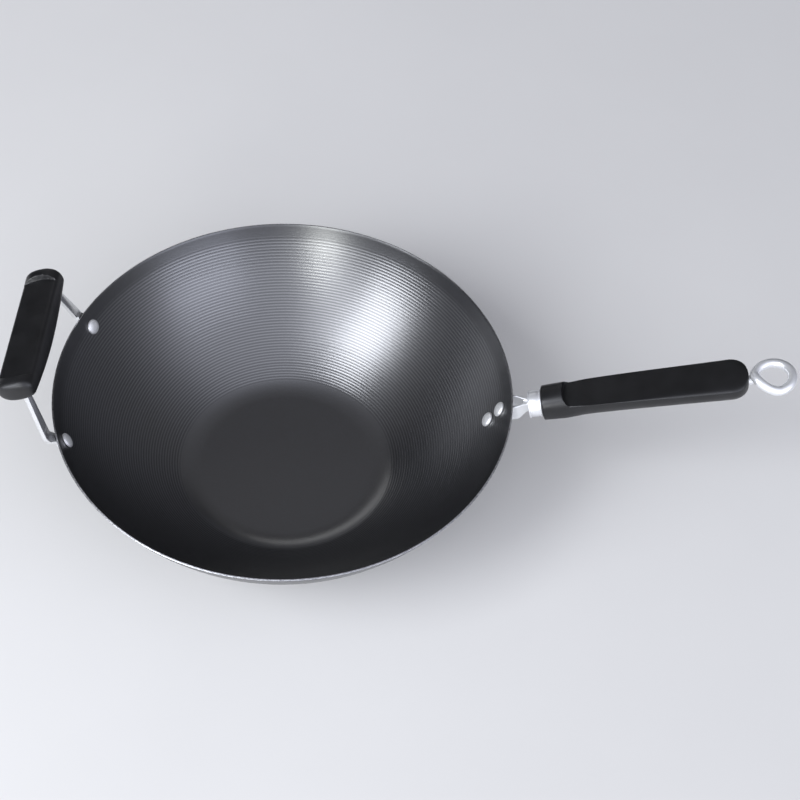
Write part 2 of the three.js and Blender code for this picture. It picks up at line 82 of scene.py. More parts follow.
def makeLine(name, points):
    return makeObject(name, points, edges=[(k, k + 1) for k in range(len(points) - 1)])


def loft(name, rings):
    count = len(rings[0])
    last = (len(rings) - 1) * count
    faces = [tuple(range(count)), tuple(range(last, last + count))]
    for start in range(0, last, count):
        for k in range(count):
            after = (k + 1) % count
            faces.append((start + k, start + after, start + after + count, start + k + count))
    points = [point for ring in rings for point in ring]
    return makeObject(name, points, faces)


def markPoints(piece, label, values):  # a number for each point
    piece.data.attributes.new(label, "FLOAT", "POINT").data.foreach_set("value", values)


def aimPoints(piece, label, vectors):  # a direction for each point
    flat = [value for vector in vectors for value in vector]
    piece.data.attributes.new(label, "FLOAT_VECTOR", "POINT").data.foreach_set("vector", flat)


def tidyMesh(piece, sharpAngle=sharpEdge):
    shape = bmesh.new()
    shape.from_mesh(piece.data)
    bmesh.ops.remove_doubles(shape, verts=shape.verts, dist=1e-7)
    bmesh.ops.recalc_face_normals(shape, faces=shape.faces)
    shape.to_mesh(piece.data)
    shape.free()
    piece.data.shade_smooth()
    piece.data.set_sharp_from_angle(angle=sharpAngle)


def bakeModifiers(piece):
    depsgraph = bpy.context.evaluated_depsgraph_get()
    made = bpy.data.meshes.new_from_object(piece.evaluated_get(depsgraph))
    piece.modifiers.clear()
    piece.data = made
    made.name = piece.name


def standIn(piece, slot, *nodes):  # the finished piece takes the place of its nodes
    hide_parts(*nodes)
    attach(piece, "root")
    print("made", piece.name, "with", len(piece.data.polygons), "faces")


# nodes

def place(tree, kind, *feeds, **settings):
    made = tree.nodes.new(kind)
    for key, value in settings.items():
        setattr(made, key, value)
    sockets = [socket for socket in made.inputs if socket.enabled]
    for socket, feed in zip(sockets, feeds):
        if isinstance(feed, bpy.types.NodeSocket):
            tree.links.new(feed, socket)
        elif feed is not None:
            socket.default_value = feed
    return made


def out(node):
    return next(socket for socket in node.outputs if socket.enabled)


def calc(tree, operation, *feeds):
    return out(place(tree, "ShaderNodeMath", *feeds, operation=operation))


def newTree(name, kind, inputs, outputs):
    tree = bpy.data.node_groups.new(name, kind)
    for label, socketType in inputs:
        tree.interface.new_socket(label, in_out="INPUT", socket_type=socketType)
    for label, socketType in outputs:
        tree.interface.new_socket(label, in_out="OUTPUT", socket_type=socketType)
    return tree, place(tree, "NodeGroupInput").outputs, place(tree, "NodeGroupOutput").inputs


def shapeTree(name, *inputs):  # Geometry Nodes that take a shape and give one back
    shape = ("Geometry", "NodeSocketGeometry")
    return newTree(name, "GeometryNodeTree", [shape, *inputs], [shape])


def addTree(piece, tree, **values):  # a modifier's inputs go in by identifier
    modifier = piece.modifiers.new(tree.name, "NODES")
    modifier.node_group = tree
    for item in tree.interface.items_tree:
        if item.in_out == "INPUT" and item.name in values:
            modifier[item.identifier] = values[item.name]


def attribute(tree, label, dataType):
    return out(place(tree, "GeometryNodeInputNamedAttribute", label, data_type=dataType))


def pushed(tree, shape, direction, amount):
    push = place(tree, "ShaderNodeVectorMath", direction, operation="SCALE")
    tree.links.new(amount, push.inputs["Scale"])
    return out(place(tree, "GeometryNodeSetPosition", shape, None, None, out(push)))


# shared shader effects

def grainGroup():
    tree, given, result = newTree(
        "fineGrain", "ShaderNodeTree",
        [("Place", "NodeSocketVector"), ("Scale", "NodeSocketFloat")],
        [("Height", "NodeSocketFloat"), ("Fleck", "NodeSocketFloat")],
    )
    detail, roughness = 3, 0.6
    noise = place(tree, "ShaderNodeTexNoise", given["Place"], given["Scale"], detail, roughness)
    cells = place(tree, "ShaderNodeTexVoronoi", given["Place"], given["Scale"])
    fleck = place(tree, "ShaderNodeSeparateColor", cells.outputs["Color"])
    tree.links.new(noise.outputs[0], result["Height"])
    tree.links.new(fleck.outputs[0], result["Fleck"])
    return tree


def smudgeGroup():
    tree, given, result = newTree(
        "handlingSmudge", "ShaderNodeTree",
        [("Place", "NodeSocketVector"), ("Scale", "NodeSocketFloat"),
         ("Least", "NodeSocketFloat"), ("Most", "NodeSocketFloat")],
        [("Level", "NodeSocketFloat")],
    )
    detail, roughness = 4, 0.55
    low, high = 0.35, 0.68  # the part of the noise that is spread from least to most
    noise = place(tree, "ShaderNodeTexNoise", given["Place"], given["Scale"], detail, roughness)
    spread = place(
        tree, "ShaderNodeMapRange", noise.outputs[0], low, high, given["Least"], given["Most"],
    )
    tree.links.new(out(spread), result["Level"])
    return tree


fineGrain = grainGroup()
handlingSmudge = smudgeGroup()


def useGroup(tree, group, *feeds):
    return place(tree, "ShaderNodeGroup", *feeds, node_tree=group).outputs


def newMaterial(name, **fixed):  # a Principled material and its object coordinates
    material = bpy.data.materials.new(name)
    material.use_nodes = True
    tree = material.node_tree
    shader = tree.nodes["Principled BSDF"]
    for label, value in fixed.items():
        shader.inputs[label.replace("_", " ")].default_value = value
    coordinates = place(tree, "ShaderNodeTexCoord").outputs["Object"]
    return material, tree, shader.inputs, coordinates


def mixColours(tree, share, dark, light):
    mixed = place(tree, "ShaderNodeMix", share, dark, light, data_type="RGBA", clamp_factor=True)
    return out(mixed)


def smudgedColour(tree, sockets, spot, look):
    tint = useGroup(tree, handlingSmudge, spot, look["tintScale"], 0.0, 1.0)
    tree.links.new(mixColours(tree, tint[0], look["dark"], look["light"]), sockets["Base Color"])


def smudgedGloss(tree, sockets, spot, look):
    rough = useGroup(tree, handlingSmudge, spot, look["roughScale"], *look["roughness"])
    tree.links.new(rough[0], sockets["Roughness"])


def addBump(tree, sockets, height, look):
    bump = place(tree, "ShaderNodeBump", look["bump"], look["bumpDepth"], None, height)
    tree.links.new(out(bump), sockets["Normal"])


def coatingMaterial():
    look = {
        "dark": (0.004, 0.0041, 0.005, 1), "fleck": (0.011, 0.0113, 0.014, 1), "fleckStart": 0.72,
        "grain": 1100, "bump": 0.05, "bumpDepth": 0.0004, "roughScale": 14.0, "roughness": (0.276, 0.296),
        "sheen": 0.7, "mattSheen": 0.35,
    }
    material, tree, sockets, coordinates = newMaterial("coatedSteel", Metallic=0.0, IOR=2.325)
    grain = useGroup(tree, fineGrain, coordinates, look["grain"])
    flecks = place(tree, "ShaderNodeMapRange", grain["Fleck"], look["fleckStart"], 1.0, 0.0, 1.0)
    tree.links.new(mixColours(tree, out(flecks), look["dark"], look["fleck"]), sockets["Base Color"])
    matt = place(tree, "ShaderNodeAttribute", attribute_name="mattShare").outputs["Fac"]
    sheen = place(tree, "ShaderNodeMapRange", matt, 0.0, 1.0, look["sheen"], look["mattSheen"])
    tree.links.new(out(sheen), sockets["Specular IOR Level"])
    smudgedGloss(tree, sockets, coordinates, look)
    addBump(tree, sockets, grain["Height"], look)
    return material


def roundAxis(tree, spot, turns, reach):  # a point's angle round Z, distance from Z and height
    parts = place(tree, "ShaderNodeSeparateXYZ", spot).outputs
    angle = calc(tree, "ARCTAN2", parts[1], parts[0])
    ring = out(place(tree, "ShaderNodeVectorMath", spot, (1, 1, 0), operation="MULTIPLY"))
    radius = place(tree, "ShaderNodeVectorMath", ring, operation="LENGTH").outputs["Value"]
    across = calc(tree, "MULTIPLY", angle, turns)
    along = calc(tree, "MULTIPLY", radius, reach)
    return out(place(tree, "ShaderNodeCombineXYZ", across, along, parts[2]))


def bareEdgeMaterial():  # streaks of the cutter run round the rim
    look = {
        "dark": (0.32, 0.32, 0.33, 1), "light": (0.6, 0.6, 0.6, 1), "turns": 60.0, "reach": 900.0,
        "tintScale": 1.0, "roughScale": 2.0, "roughness": (0.25, 0.45),
    }
    material, tree, sockets, coordinates = newMaterial("bareCutEdge", Metallic=1.0)
    spot = roundAxis(tree, coordinates, look["turns"], look["reach"])
    smudgedColour(tree, sockets, spot, look)
    smudgedGloss(tree, sockets, spot, look)
    return material


def handledMaterial(name, look, **fixed):  # a finish with two tints and an uneven gloss
    material, tree, sockets, coordinates = newMaterial(name, **fixed)
    smudgedColour(tree, sockets, coordinates, look)
    smudgedGloss(tree, sockets, coordinates, look)
    if "grain" in look:
        grain = useGroup(tree, fineGrain, coordinates, look["grain"])
        addBump(tree, sockets, grain["Height"], look)
    return material


chrome = {
    "dark": (0.82, 0.83, 0.84, 1), "light": (0.88, 0.885, 0.89, 1), "tintScale": 90.0,
    "roughScale": 160.0, "roughness": (0.14, 0.2), "grain": 350.0, "bump": 0.01, "bumpDepth": 0.0003,
}
rivetSteel = {
    "dark": (0.82, 0.82, 0.82, 1), "light": (0.92, 0.92, 0.91, 1), "tintScale": 400.0,
    "roughScale": 900.0, "roughness": (0.46, 0.56), "grain": 1500.0, "bump": 0.1, "bumpDepth": 0.0002,
}
blackRubber = {
    "dark": (0.004, 0.004, 0.0044, 1), "light": (0.008, 0.008, 0.0087, 1), "tintScale": 45.0,
    "roughScale": 70.0, "roughness": (0.34, 0.43), "grain": 2200.0, "bump": 0.22, "bumpDepth": 0.0003,
}
zinc = {
    "dark": (0.36, 0.37, 0.38, 1), "light": (0.55, 0.56, 0.58, 1), "tintScale": 250.0,
    "roughScale": 500.0, "roughness": (0.3, 0.5),
}
coatedSteel = coatingMaterial()
bareEdge = bareEdgeMaterial()
chromePlate = handledMaterial("chromePlate", chrome, Metallic=0.9)
satinChrome = handledMaterial("satinChrome", {**chrome, "roughness": (0.3, 0.36)}, Metallic=0.7)
satinSteel = handledMaterial("satinSteel", rivetSteel, Metallic=0.75)
softTouch = handledMaterial("softTouchBlack", blackRubber, Specular_IOR_Level=0.5)
zincPlate = handledMaterial("zincPlate", zinc, Metallic=1.0)
print("materials made")


# turned pieces: a profile in the XZ plane, from one end of its line to the other, swept round Z

def turnTree():
    tree, given, result = shapeTree(
        "turnedProfile", ("Sides", "NodeSocketInt"),
        ("Finish", "NodeSocketMaterial"), ("Bare Finish", "NodeSocketMaterial"),
    )
    rows = place(tree, "GeometryNodeAttributeDomainSize", given["Geometry"]).outputs["Point Count"]
    columns = calc(tree, "ADD", given["Sides"], 1)
    grid = place(tree, "GeometryNodeMeshGrid", 1, 1, rows, columns).outputs["Mesh"]
    index = out(place(tree, "GeometryNodeInputIndex"))
    row = calc(tree, "FLOOR", calc(tree, "DIVIDE", calc(tree, "ADD", index, 0.5), columns))
    column = calc(tree, "SUBTRACT", index, calc(tree, "MULTIPLY", row, columns))
    turn = calc(tree, "MULTIPLY", calc(tree, "DIVIDE", column, given["Sides"]), 2 * math.pi)
    spot = out(place(tree, "GeometryNodeInputPosition"))
    profile = out(place(
        tree, "GeometryNodeSampleIndex", given["Geometry"], spot, row, data_type="FLOAT_VECTOR",
    ))
    radius, _, height = place(tree, "ShaderNodeSeparateXYZ", profile).outputs
    x = calc(tree, "MULTIPLY", radius, calc(tree, "COSINE", turn))
    y = calc(tree, "MULTIPLY", radius, calc(tree, "SINE", turn))
    swept = out(place(tree, "ShaderNodeCombineXYZ", x, y, height))
    marked = grid
    for label, stored in (("bare", "bareShare"), ("matt", "mattShare")):
        share = out(place(
            tree, "GeometryNodeSampleIndex", given["Geometry"], attribute(tree, label, "FLOAT"), row,
            data_type="FLOAT",
        ))
        marked = out(place(
            tree, "GeometryNodeStoreNamedAttribute", marked, None, stored, share,
            data_type="FLOAT", domain="POINT",
        ))
    shape = out(place(tree, "GeometryNodeSetPosition", marked, None, swept))
    seamGap = 1e-6  # closes the seam and the points on the axis
    closed = out(place(tree, "GeometryNodeMergeByDistance", shape, None, seamGap))
    whole = out(place(tree, "GeometryNodeRealizeInstances", closed))
    coated = out(place(tree, "GeometryNodeSetMaterial", whole, None, given["Finish"]))
    isBare = calc(tree, "GREATER_THAN", attribute(tree, "bareShare", "FLOAT"), 0.5)
    finished = place(tree, "GeometryNodeSetMaterial", coated, isBare, given["Bare Finish"])
    tree.links.new(out(finished), result["Geometry"])
    return tree


turnedProfile = turnTree()


def profileObject(name, outline, bare=(), matt=None):  # rows of bare metal, and how matt each row is
    piece = makeLine(name, [(radius, 0, height) for radius, height in outline])
    markPoints(piece, "bare", [1.0 if row in bare else 0.0 for row in range(len(outline))])
    markPoints(piece, "matt", matt or [0.0] * len(outline))
    return piece


def turned(name, outline, sides, material, sharpAngle=sharpEdge):
    piece = profileObject(name, outline)
    addTree(piece, turnedProfile, **{"Sides": sides, "Finish": material, "Bare Finish": material})
    bakeModifiers(piece)
    tidyMesh(piece, sharpAngle)
    return piece


# bowl: a pressed shell with fine ribs round its inner wall

bowl = {
    "depth": 0.1035, "sheet": 0.0015, "baseRadius": 0.069, "fillet": 0.043,
    "wallStart": math.radians(30), "rimLean": 0.00138, "edgeRound": 0.00025,
    "sides": 240, "sharpAngle": math.radians(50),
    "ribs": 52, "ribDepth": 0.000095, "ribCrowding": 0.07, "ribTop": 0.0085, "ribEnd": 0.1395,
    "ribSamples": 6, "ribFade": 3, "ribUnevenness": 0.5,
    "baseMatt": 0.3, "bandMatt": 1.0, "outerMatt": 1.0,
    "baseSteps": 6, "footSteps": 12, "bandSteps": 4, "edgeSteps": 3, "coatedEdgeRows": 2,
    "outerSteps": 48, "underSteps": 5,
}
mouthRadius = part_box("wok_bowl")[1].y - bowl["rimLean"]
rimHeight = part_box("wok_bowl")[1].z
wallFoot = bowl["baseRadius"] + bowl["fillet"] * math.sin(bowl["wallStart"])
footRise = bowl["fillet"] * (1 - math.cos(bowl["wallStart"]))
rimSlope = 2 * math.atan2(bowl["depth"] - footRise, mouthRadius - wallFoot) - bowl["wallStart"]
wallArc = (mouthRadius - wallFoot) / (math.sin(rimSlope) - math.sin(bowl["wallStart"]))
wallLength = wallArc * (rimSlope - bowl["wallStart"])
sideLength = wallLength + bowl["fillet"] * bowl["wallStart"]


def wallPoint(below, offset):  # radius, height and slope at a distance below the rim along the sheet
    if below > wallLength:
        slope = bowl["wallStart"] - (below - wallLength) / bowl["fillet"]
        reach = bowl["fillet"] + offset
        radius = bowl["baseRadius"] + reach * math.sin(slope)
        return radius, bowl["sheet"] + bowl["fillet"] - reach * math.cos(slope), slope
    slope = rimSlope - below / wallArc
    inward = wallArc * (math.sin(rimSlope) - math.sin(slope))
    drop = wallArc * (math.cos(slope) - math.cos(rimSlope))
    radius = mouthRadius - inward + offset * math.sin(slope)
    return radius, rimHeight - drop - offset * math.cos(slope), slope


def wallLine(belows, offset):
    return [wallPoint(below, offset)[:2] for below in belows]


def ribStations():  # distances below the rim, from the lowest rib up to the first
    low, high = bowl["ribEnd"], bowl["ribTop"]
    crowding = bowl["ribCrowding"]
    stations = []
    for share in spaced(1, 0, bowl["ribs"] * bowl["ribSamples"]):
        root = math.sqrt((1 - crowding) ** 2 + 4 * crowding * share)
        stations.append(lerp(high, low, (root - 1 + crowding) / (2 * crowding)))
    return stations


def ribTree():
    tree, given, result = shapeTree(
        "pressedRibs", ("Ribs", "NodeSocketFloat"),
        ("Depth", "NodeSocketFloat"), ("Unevenness", "NodeSocketFloat"),
    )
    phase = calc(tree, "MULTIPLY", attribute(tree, "ribShare", "FLOAT"), given["Ribs"])
    wave = calc(tree, "ABSOLUTE", calc(tree, "SINE", calc(tree, "MULTIPLY", phase, math.pi)))
    number = out(place(tree, "ShaderNodeCombineXYZ", calc(tree, "FLOOR", phase)))
    chance = place(tree, "ShaderNodeTexWhiteNoise", number, noise_dimensions="3D").outputs["Value"]
    swing = calc(tree, "MULTIPLY", calc(tree, "SUBTRACT", chance, 0.5), given["Unevenness"])
    depth = calc(tree, "MULTIPLY", given["Depth"], calc(tree, "ADD", swing, 1))
    outward = attribute(tree, "outward", "FLOAT_VECTOR")
    pressed = pushed(tree, given["Geometry"], outward, calc(tree, "MULTIPLY", wave, depth))
    tree.links.new(pressed, result["Geometry"])
    return tree


def cutEdge():  # the rounded rim, from the inner corner to the outer one
    corner = bowl["edgeRound"]
    edge = []
    for angle in spaced(0, quarterTurn, bowl["edgeSteps"]):
        edge.append(wallPoint(corner * (1 - math.sin(angle)), corner * (1 - math.cos(angle)))[:2])
    for angle in spaced(0, quarterTurn, bowl["edgeSteps"]):
        across = bowl["sheet"] - corner * (1 - math.sin(angle))
        edge.append(wallPoint(corner * (1 - math.cos(angle)), across)[:2])
    return edge


def makeBowl():
    stations = ribStations()
    inner = [(radius, bowl["sheet"]) for radius in spaced(0, bowl["baseRadius"], bowl["baseSteps"])[:-1]]
    inner += wallLine(spaced(sideLength, bowl["ribEnd"], bowl["footSteps"])[:-1], 0)
    ribStart = len(inner)
    inner += wallLine(stations, 0)
    inner += wallLine(spaced(bowl["ribTop"], bowl["edgeRound"], bowl["bandSteps"])[1:], 0)
    edge = cutEdge()
    outer = wallLine(spaced(bowl["edgeRound"], sideLength, bowl["outerSteps"])[1:], bowl["sheet"])
    outer += [(radius, 0) for radius in spaced(bowl["baseRadius"], 0, bowl["underSteps"])[1:]]
    outline = inner + edge + outer
    shares = [0.0] * len(outline)
    pushes = [(0, 0, 0)] * len(outline)
    matt = [bowl["baseMatt"]] * ribStart + [bowl["bandMatt"]] * (len(inner) - ribStart)
    matt += [bowl["outerMatt"]] * (len(edge) + len(outer))
    last = len(stations) - 1
    for k, below in enumerate(stations):
        row = ribStart + k
        slope = wallPoint(below, 0)[2]
        strength = ease(min(k, last - k), 0, bowl["ribFade"] * bowl["ribSamples"])
        shares[row] = 1 - k / last
        pushes[row] = (strength * math.sin(slope), 0, -strength * math.cos(slope))
        groove = abs(math.sin(math.pi * bowl["ribs"] * shares[row]))
        plain = bowl["baseMatt"] if k < last / 2 else bowl["bandMatt"]
        matt[row] = lerp(plain, groove, strength)  # the coating is matt down in the grooves
    coated = bowl["coatedEdgeRows"]  # rows at each corner of the cut edge that the coating covers
    bareRows = range(len(inner) + coated, len(inner) + len(edge) - coated)
    piece = profileObject("wokBowl", outline, bareRows, matt)
    markPoints(piece, "ribShare", shares)
    aimPoints(piece, "outward", pushes)
    addTree(
        piece, ribTree(),
        Ribs=float(bowl["ribs"]), Depth=bowl["ribDepth"], Unevenness=bowl["ribUnevenness"],
    )
    addTree(piece, turnedProfile, **{
        "Sides": bowl["sides"], "Finish": coatedSteel, "Bare Finish": bareEdge,
    })
    bakeModifiers(piece)
    tidyMesh(piece, bowl["sharpAngle"])
    standIn(piece, "coated_steel", "wok_bowl")


makeBowl()


# rivets: one domed pattern set on four seats

rivet = {
    "shank": 0.0025, "head": 0.006, "headHeight": 0.0028, "headGap": 0.00045, "lip": 0.0005,
    "tail": 0.004, "tailHeight": 0.0022, "headSteps": 10, "tailSteps": 8, "sides": 48,
    "upperBelow": 0.0175, "lowerBelow": 0.0335, "helperBelow": 0.014, "helperAcross": 0.0577,
}
bracketSheet = 0.002
bailThickness = 0.0036


def rivetSeat(below, azimuth):  # place on the inner face, axis outwards, way up the wall
    radius, height, slope = wallPoint(below, 0)
    level = Vector((math.cos(azimuth), math.sin(azimuth), 0))
    up = Vector((0, 0, 1))
    axis = level * math.sin(slope) - up * math.cos(slope)
    climb = level * math.cos(slope) + up * math.sin(slope)
    return level * radius + up * height, axis, climb


def helperAzimuth(side):
    return math.pi - side * math.asin(rivet["helperAcross"] / wallPoint(rivet["helperBelow"], 0)[0])


def rivetTree():
    tree, given, result = shapeTree(
        "rivetRow", ("Pattern", "NodeSocketObject"), ("Finish", "NodeSocketMaterial"),
    )
    pattern = place(tree, "GeometryNodeObjectInfo", given["Pattern"], True).outputs["Geometry"]
    axis = attribute(tree, "axis", "FLOAT_VECTOR")
    turn = out(place(tree, "FunctionNodeAlignRotationToVector", None, 1, axis, axis="Z"))
    copies = out(place(
        tree, "GeometryNodeInstanceOnPoints", given["Geometry"], None, pattern, None, None, turn,
    ))
    whole = out(place(tree, "GeometryNodeRealizeInstances", copies))
    tailShare, plate = attribute(tree, "tailShare", "FLOAT"), attribute(tree, "plate", "FLOAT")
    longer = pushed(tree, whole, axis, calc(tree, "MULTIPLY", tailShare, plate))
    finished = place(tree, "GeometryNodeSetMaterial", longer, None, given["Finish"])
    tree.links.new(out(finished), result["Geometry"])
    return tree


def rivetOutline(tailSeat):
    head, tail, shank, lip = rivet["head"], rivet["tail"], rivet["shank"], rivet["lip"]
    under = -rivet["headGap"]
    outline = []
    for angle in spaced(0, quarterTurn, rivet["headSteps"]):
        dome = (rivet["headHeight"] - lip) * math.cos(angle)
        outline.append((head * math.sin(angle), under - lip - dome))
    outline += [(head, under), (shank, under), (shank, tailSeat), (tail, tailSeat)]
    for angle in spaced(0, quarterTurn, rivet["tailSteps"]):
        outline.append((tail * math.cos(angle), tailSeat + rivet["tailHeight"] * math.sin(angle)))
    return outline


def makeRivets():
    tailSeat = bowl["sheet"] + 2 * gap
    pattern = turned("rivetPattern", rivetOutline(tailSeat), rivet["sides"], satinSteel)
    onTail = [vertex.co.z > tailSeat - gap for vertex in pattern.data.vertices]
    markPoints(pattern, "tailShare", [1.0 if tail else 0.0 for tail in onTail])
    seats = [rivetSeat(rivet[height], 0) for height in ("upperBelow", "lowerBelow")]
    seats += [rivetSeat(rivet["helperBelow"], helperAzimuth(side)) for side in (-1, 1)]
    piece = makeObject("rivets", [spot for spot, axis, climb in seats])
    aimPoints(piece, "axis", [axis for spot, axis, climb in seats])
    markPoints(piece, "plate", [bracketSheet] * 2 + [bailThickness] * 2)  # the tail clears what it holds
    addTree(piece, rivetTree(), Pattern=pattern, Finish=satinSteel)
    bakeModifiers(piece)
    bpy.data.objects.remove(pattern)
    tidyMesh(piece)
    standIn(
        piece, "satin_rivet",
        "handle_rivet_upper", "handle_rivet_lower", "helper_rivet_front", "helper_rivet_rear",
    )


makeRivets()


# long handle: everything on its axis is made along X and then set in place

handle = {"standOff": 0.0128, "drop": 0.007, "rise": math.radians(15.5), "rimRadius": 0.178}
handleFrame = (
    Matrix.Translation((handle["rimRadius"] + handle["standOff"], 0, rimHeight - handle["drop"]))
    @ Matrix.Rotation(-handle["rise"], 4, "Y")
)
alongHandle = handleFrame @ Matrix.Rotation(quarterTurn, 4, "Y")  # for pieces turned round Z

ferrule = {
    "radius": 0.0106, "length": 0.0105, "bore": 0.0094, "cap": 0.0012, "faceInset": 0.0009,
    "bead": 0.0008, "beadSink": 0.0003, "beadLength": 0.0014, "waist": 0.0002,
    "beadSteps": 8, "sides": 72,
}


def makeFerrule():
    radius, length, bore = ferrule["radius"], ferrule["length"], ferrule["bore"]
    half, waist = ferrule["beadLength"] / 2, ferrule["waist"]
    angles = spaced(-quarterTurn, quarterTurn, ferrule["beadSteps"])
    crowns = [radius - ferrule["beadSink"] + ferrule["bead"] * math.cos(angle) for angle in angles]
    outline = [(0, 0), (radius - ferrule["faceInset"], 0)]
    for angle, crown in zip(angles, crowns):  # bead at the bracket's end
        outline.append((crown, half * (1 + math.sin(angle))))
    outline += [(radius - waist, 2 * half + waist), (radius - waist, length - 2 * half - waist)]
    for angle, crown in zip(angles, crowns):  # bead at the grip's end
        outline.append((crown, length - half * (1 - math.sin(angle))))
    outline += [(bore, length), (bore, ferrule["cap"]), (0, ferrule["cap"])]
    piece = turned("handleFerrule", outline, ferrule["sides"], satinChrome)
    piece.data.transform(alongHandle)
    standIn(piece, "chrome", "handle_ferrule")


makeFerrule()

bracket = {
    "tabHalf": 0.008, "tabTop": 0.005, "tabEndAngle": 1.5,
    "tabSteps": 12, "tabEndSteps": 8, "acrossSteps": 6,
    "wingHalf": 0.0065, "wingTop": 0.006, "wingBottom": 0.009, "wingRows": 8, "wingSteps": 10,
    "straight": 0.011, "mouthTop": 0.0046, "mouthBottom": 0.0044,
    "tangHalf": 0.0034, "tangHeight": 0.003, "tangStart": -0.0043, "tangLength": 0.004,
    "searchStart": -0.06, "halvings": 30, "voxel": 0.00032, "smoothing": 6,
}


def tabRings():
    inner, outer = bowl["sheet"] + gap, bowl["sheet"] + gap + bracketSheet
    half, lower, steps = bracket["tabHalf"], rivet["lowerBelow"], bracket["acrossSteps"]
    stations = spaced(bracket["tabTop"], lower, bracket["tabSteps"])
    for angle in spaced(0, bracket["tabEndAngle"], bracket["tabEndSteps"])[1:]:
        stations.append(lower + half * math.sin(angle))
    rings = []
    for below in stations:
        width = math.sqrt(half ** 2 - max(below - lower, 0) ** 2)
        ring = []
        for offset, row in ((inner, spaced(-width, width, steps)), (outer, spaced(width, -width, steps))):
            radius, height, _ = wallPoint(below, offset)
            for across in row:
                ring.append((math.sqrt(radius ** 2 - across ** 2), across, height))
        rings.append(ring)
    return rings


def wallReach(across, up):  # how far along the handle a line of the wing meets the middle of the tab
    low, high = bracket["searchStart"], 0.0
    for _ in range(bracket["halvings"]):
        middle = (low + high) / 2
        spot = handleFrame @ Vector((middle, across, up))
        slope = math.acos(min(1, math.cos(rimSlope) + (rimHeight - spot.z) / wallArc))
        below = wallArc * (rimSlope - slope)
        wall = wallPoint(below, 0)[0] + (bowl["sheet"] + gap + bracketSheet / 2) / math.sin(slope)
        if math.hypot(spot.x, spot.y) > wall:
            high = middle
        else:
            low = middle
    return low


def wingRings(side):
    rows = bracket["wingRows"]
    closing = spaced(-bracket["straight"], -gap, bracket["wingSteps"])
    rings = []
    for k, along in enumerate(closing[:1] + closing):  # the first ring reaches into the tab
        shut = ease(along, -bracket["straight"], -gap)
        outer = lerp(bracket["wingHalf"], bracket["tangHalf"], shut)
        inner = outer - bracketSheet
        top = lerp(bracket["wingTop"], bracket["mouthTop"], shut)
        bottom = -lerp(bracket["wingBottom"], bracket["mouthBottom"], shut)
        ring = []
        for across, levels in ((outer, spaced(bottom, top, rows)), (inner, spaced(top, bottom, rows))):
            for up in levels:
                station = wallReach(across, up) if k == 0 else along
                ring.append(handleFrame @ Vector((station, side * across, up)))
        rings.append(ring)
    return rings


def tangRings():
    half, height = bracket["tangHalf"], bracket["tangHeight"]
    section = [(-half, -height), (half, -height), (half, height), (-half, height)]
    rings = []
    for along in (bracket["tangStart"], bracket["tangLength"]):
        rings.append([handleFrame @ Vector((along, y, z)) for y, z in section])
    return rings


def makeBracket():
    shape = bmesh.new()
    for rings in (tabRings(), wingRings(1), wingRings(-1), tangRings()):
        part = loft("bracketPart", rings)
        tidyMesh(part, math.pi)
        shape.from_mesh(part.data)
        bpy.data.objects.remove(part)
    piece = makeObject("handleBracket", [])
    shape.to_mesh(piece.data)
    shape.free()
    remesh = piece.modifiers.new("fuse", "REMESH")
    remesh.mode = "VOXEL"
    remesh.voxel_size = bracket["voxel"]
    soften = piece.modifiers.new("soften", "SMOOTH")
    soften.iterations = bracket["smoothing"]
    bakeModifiers(piece)
    tidyMesh(piece, math.pi)
    piece.data.materials.append(satinChrome)
    standIn(piece, "chrome", "handle_bracket")


makeBracket()


# moulded grips: squared ovals along an axis, under a scooped top

gripRing = {"points": 120, "crowding": 0.75}


def ringAngles():  # closer together at the two side edges, where the scoop's crease lies
    angles = []
    for k in range(gripRing["points"]):
        turn = 2 * math.pi * k / gripRing["points"]
        angles.append(turn - gripRing["crowding"] / 2 * math.sin(2 * turn))
    return angles


def ovalRing(along, section, squareness, ceiling, crease):
    halfWidth, level, rise, depth = section
    power = 2 / squareness
    ring = []
    for angle in ringAngles():
        cos, sin = math.cos(angle), math.sin(angle)
        y = halfWidth * math.copysign(abs(cos) ** power, cos)
        z = level + (rise if sin > 0 else depth) * math.copysign(abs(sin) ** power, sin)
        ring.append(Vector((along, y, softMin(z, ceiling(along, y), crease))))
    return ring


def roundedOff(section, share, squareness, tuck):  # a section near a rounded end, share from 0 to 1
    narrow = math.cos(share * quarterTurn) ** (2 / squareness)
    shallow = lerp(1, narrow, tuck)
    halfWidth, level, rise, depth = section
    return halfWidth * narrow, level, rise * shallow, depth * shallow


longGrip = {
    "start": 0.0108, "length": 0.1575, "spigot": 0.0088, "spigotLength": 0.004,
    "collar": 0.0155, "collarFront": 0.0126, "collarRear": 0.014, "collarSide": 0.013, "edge": 0.0012,
    "corner": 0.008, "blend": 0.022, "floorFront": 0.0066, "floorRear": 0.01, "stepRun": 0.0016,
    "halfWidths": (0.0128, 0.0152, 0.017), "depths": (0.0189, 0.0178, 0.019),
    "creases": (0.0018, 0.0065), "shoulder": 0.0036, "squareness": 2.6,
    "endRound": 0.014, "tuck": 0.5, "endShare": 0.985,
    "recess": 0.0063, "recessDepth": 0.0026, "recessOver": 0.002, "recessSides": 64,
    "edgeSteps": 6, "collarSteps": 6, "stepLead": 0.0003, "cornerRun": 0.003, "cornerSteps": 36,
    "barSteps": 44, "endSteps": 22,
}
gripStep = longGrip["start"] + longGrip["collar"]
gripEnd = longGrip["start"] + longGrip["length"]


def scoopFloor(along):
    share = (along - gripStep) / (gripEnd - gripStep)
    return lerp(longGrip["floorFront"], longGrip["floorRear"], share)


